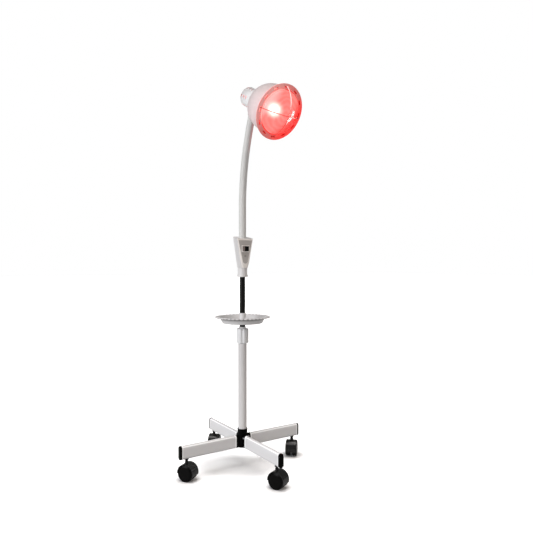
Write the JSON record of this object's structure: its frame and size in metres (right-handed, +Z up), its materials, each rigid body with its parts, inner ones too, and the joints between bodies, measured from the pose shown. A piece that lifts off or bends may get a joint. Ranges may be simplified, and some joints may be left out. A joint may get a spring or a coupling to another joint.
{
  "type": "infrared heat therapy lamp",
  "caption": "Infrared heat lamp on a rolling four-leg stand: height clamp, round tray, switch housing, gooseneck, and a vented bell shade with a wire guard over the red bulb.",
  "frame": {"origin": "pole axis at floor level, under the middle of the four-leg base", "axes": "+Z up along the pole, +X towards the right leg, -Y towards the front leg and the side with the switch, +Y to the rear"},
  "size_m": [0.4106, 0.4249, 1.1119],
  "materials": {
    "black_plastic": "fine satin, moulded",
    "pale_plastic": "pale grey satin, moulded",
    "silver_tube": "silver-grey satin coating",
    "black_tube": "black satin coating",
    "plated_steel": "bright zinc plate",
    "tray_plastic": "pale grey, semi-gloss",
    "grey_plastic": "light grey satin",
    "label_grey": "mid grey matt film, bare",
    "terminal_plastic": "natural polyamide",
    "neck_cover": "light grey, finely ribbed sleeve",
    "shade_plastic": "warm white, semi-gloss",
    "ring_plastic": "warm white, lit red from within",
    "holder_ceramic": "glazed",
    "bulb_shell": "bright screw shell",
    "bulb_glass": "red-stained, frosted reflector glass",
    "guard_wire": "bright plated wire",
    "caster_plastic": "satin black",
    "wheel_plastic": "satin black nylon"
  },
  "bodies": {
    "base": {"base_hub": "black_plastic", "leg_right": "silver_tube", "leg_rear": "silver_tube", "leg_left": "silver_tube", "leg_front": "silver_tube", "leg_end_caps": "black_plastic", "hub_screws": "plated_steel", "caster_sockets": "black_plastic", "outer_tube": "silver_tube", "column_bolt": "plated_steel", "clamp_bush": "pale_plastic"},
    "knob": {"clamp_knob": "pale_plastic"},
    "collet": {"clamp_collet": "pale_plastic"},
    "mast": {"inner_tube": "black_tube", "tray_stop_ring": "black_plastic", "housing_collar": "pale_plastic", "housing_front": "grey_plastic", "housing_rear": "grey_plastic", "label_plate": "label_grey", "switch_body": "black_plastic", "terminal_block": "terminal_plastic", "housing_screws": "plated_steel", "cord_gland": "black_plastic", "neck_stub": "neck_cover"},
    "rocker": {"switch_rocker": "black_plastic"},
    "tray": {"tray": "tray_plastic"},
    "neck_1": {"neck_link_1": "neck_cover"},
    "neck_2": {"neck_link_2": "neck_cover"},
    "neck_3": {"neck_link_3": "neck_cover"},
    "neck_4": {"neck_link_4": "neck_cover"},
    "neck_5": {"neck_link_5": "neck_cover"},
    "head": {"neck_link_6": "neck_cover", "neck_socket": "shade_plastic", "lamp_cap": "shade_plastic", "lamp_holder": "holder_ceramic", "bulb_base": "bulb_shell", "bulb_glass": "bulb_glass", "shade_bell": "shade_plastic", "shade_ring": "ring_plastic", "wire_guard": "guard_wire"},
    "caster_right": {"caster_right_hood": "caster_plastic", "caster_right_stem": "plated_steel", "caster_right_axle": "plated_steel"},
    "wheel_right_left": {"caster_right_wheel_left": "wheel_plastic"},
    "wheel_right_right": {"caster_right_wheel_right": "wheel_plastic"},
    "caster_rear": {"caster_rear_hood": "caster_plastic", "caster_rear_stem": "plated_steel", "caster_rear_axle": "plated_steel"},
    "wheel_rear_left": {"caster_rear_wheel_left": "wheel_plastic"},
    "wheel_rear_right": {"caster_rear_wheel_right": "wheel_plastic"},
    "caster_left": {"caster_left_hood": "caster_plastic", "caster_left_stem": "plated_steel", "caster_left_axle": "plated_steel"},
    "wheel_left_left": {"caster_left_wheel_left": "wheel_plastic"},
    "wheel_left_right": {"caster_left_wheel_right": "wheel_plastic"},
    "caster_front": {"caster_front_hood": "caster_plastic", "caster_front_stem": "plated_steel", "caster_front_axle": "plated_steel"},
    "wheel_front_left": {"caster_front_wheel_left": "wheel_plastic"},
    "wheel_front_right": {"caster_front_wheel_right": "wheel_plastic"}
  },
  "joints": [
    {"name": "mast_turn", "type": "hinge", "parent": "base", "child": "collet", "pos_m": [0, 0, 0.375], "axis": [0, 0, 1], "continuous": true},
    {"name": "knob_turn", "type": "hinge", "parent": "base", "child": "knob", "pos_m": [0, 0, 0.388], "axis": [0, 0, 1], "range_deg": [0, 180]},
    {"name": "mast_slide", "type": "slide", "parent": "collet", "child": "mast", "axis": [0, 0, 1], "range_m": [-0.0045, 0.2]},
    {"name": "tray_turn", "type": "hinge", "parent": "mast", "child": "tray", "pos_m": [0, 0, 0.43], "axis": [0, 0, 1], "continuous": true},
    {"name": "switch_rock", "type": "hinge", "parent": "mast", "child": "rocker", "pos_m": [0, -0.0182, 0.644], "axis": [0, 0, 1], "range_deg": [0, 18]},
    {"name": "neck_bend_1", "type": "hinge", "parent": "mast", "child": "neck_1", "pos_m": [0, 0, 0.706], "axis": [0.9911, 0.1331, 0], "range_deg": [-35, 35]},
    {"name": "neck_bend_2", "type": "hinge", "parent": "neck_1", "child": "neck_2", "pos_m": [0, 0, 0.764], "axis": [0.1331, -0.9911, 0], "range_deg": [-35, 35]},
    {"name": "neck_bend_3", "type": "hinge", "parent": "neck_2", "child": "neck_3", "pos_m": [0.00026, -0.00194, 0.82195], "axis": [0.9911, 0.1331, 0], "range_deg": [-35, 35]},
    {"name": "neck_bend_4", "type": "hinge", "parent": "neck_3", "child": "neck_4", "pos_m": [0.00108, -0.00805, 0.87961], "axis": [0.1318, -0.981, -0.1422], "range_deg": [-35, 35]},
    {"name": "neck_bend_5", "type": "hinge", "parent": "neck_4", "child": "neck_5", "pos_m": [0.00246, -0.01828, 0.93668], "axis": [0.9911, 0.1331, 0], "range_deg": [-35, 35]},
    {"name": "neck_bend_6", "type": "hinge", "parent": "neck_5", "child": "head", "pos_m": [0.00438, -0.03258, 0.99284], "axis": [0.1276, -0.9503, -0.2839], "range_deg": [-35, 35]},
    {"name": "caster_right_swivel", "type": "hinge", "parent": "base", "child": "caster_right", "pos_m": [0.18, 0, 0.055], "axis": [0, 0, 1], "continuous": true},
    {"name": "wheel_right_left_spin", "type": "hinge", "parent": "caster_right", "child": "wheel_right_left", "pos_m": [0.17725, -0.0029, 0.0232], "axis": [0.7254, -0.6884, 0], "continuous": true},
    {"name": "wheel_right_right_spin", "type": "hinge", "parent": "caster_right", "child": "wheel_right_right", "pos_m": [0.17725, -0.0029, 0.0232], "axis": [0.7254, -0.6884, 0], "continuous": true},
    {"name": "caster_rear_swivel", "type": "hinge", "parent": "base", "child": "caster_rear", "pos_m": [0, 0.18, 0.055], "axis": [0, 0, 1], "continuous": true},
    {"name": "wheel_rear_left_spin", "type": "hinge", "parent": "caster_rear", "child": "wheel_rear_left", "pos_m": [0.00275, 0.18291, 0.0232], "axis": [-0.7266, 0.6871, 0], "continuous": true},
    {"name": "wheel_rear_right_spin", "type": "hinge", "parent": "caster_rear", "child": "wheel_rear_right", "pos_m": [0.00275, 0.18291, 0.0232], "axis": [-0.7266, 0.6871, 0], "continuous": true},
    {"name": "caster_left_swivel", "type": "hinge", "parent": "base", "child": "caster_left", "pos_m": [-0.18, 0, 0.055], "axis": [0, 0, 1], "continuous": true},
    {"name": "wheel_left_left_spin", "type": "hinge", "parent": "caster_left", "child": "wheel_left_left", "pos_m": [-0.17782, -0.00335, 0.0232], "axis": [0.8387, 0.5446, 0], "continuous": true},
    {"name": "wheel_left_right_spin", "type": "hinge", "parent": "caster_left", "child": "wheel_left_right", "pos_m": [-0.17782, -0.00335, 0.0232], "axis": [0.8387, 0.5446, 0], "continuous": true},
    {"name": "caster_front_swivel", "type": "hinge", "parent": "base", "child": "caster_front", "pos_m": [0, -0.18, 0.055], "axis": [0, 0, 1], "continuous": true},
    {"name": "wheel_front_left_spin", "type": "hinge", "parent": "caster_front", "child": "wheel_front_left", "pos_m": [0.00169, -0.18363, 0.0232], "axis": [0.9063, 0.4226, 0], "continuous": true},
    {"name": "wheel_front_right_spin", "type": "hinge", "parent": "caster_front", "child": "wheel_front_right", "pos_m": [0.00169, -0.18363, 0.0232], "axis": [0.9063, 0.4226, 0], "continuous": true}
  ]
}
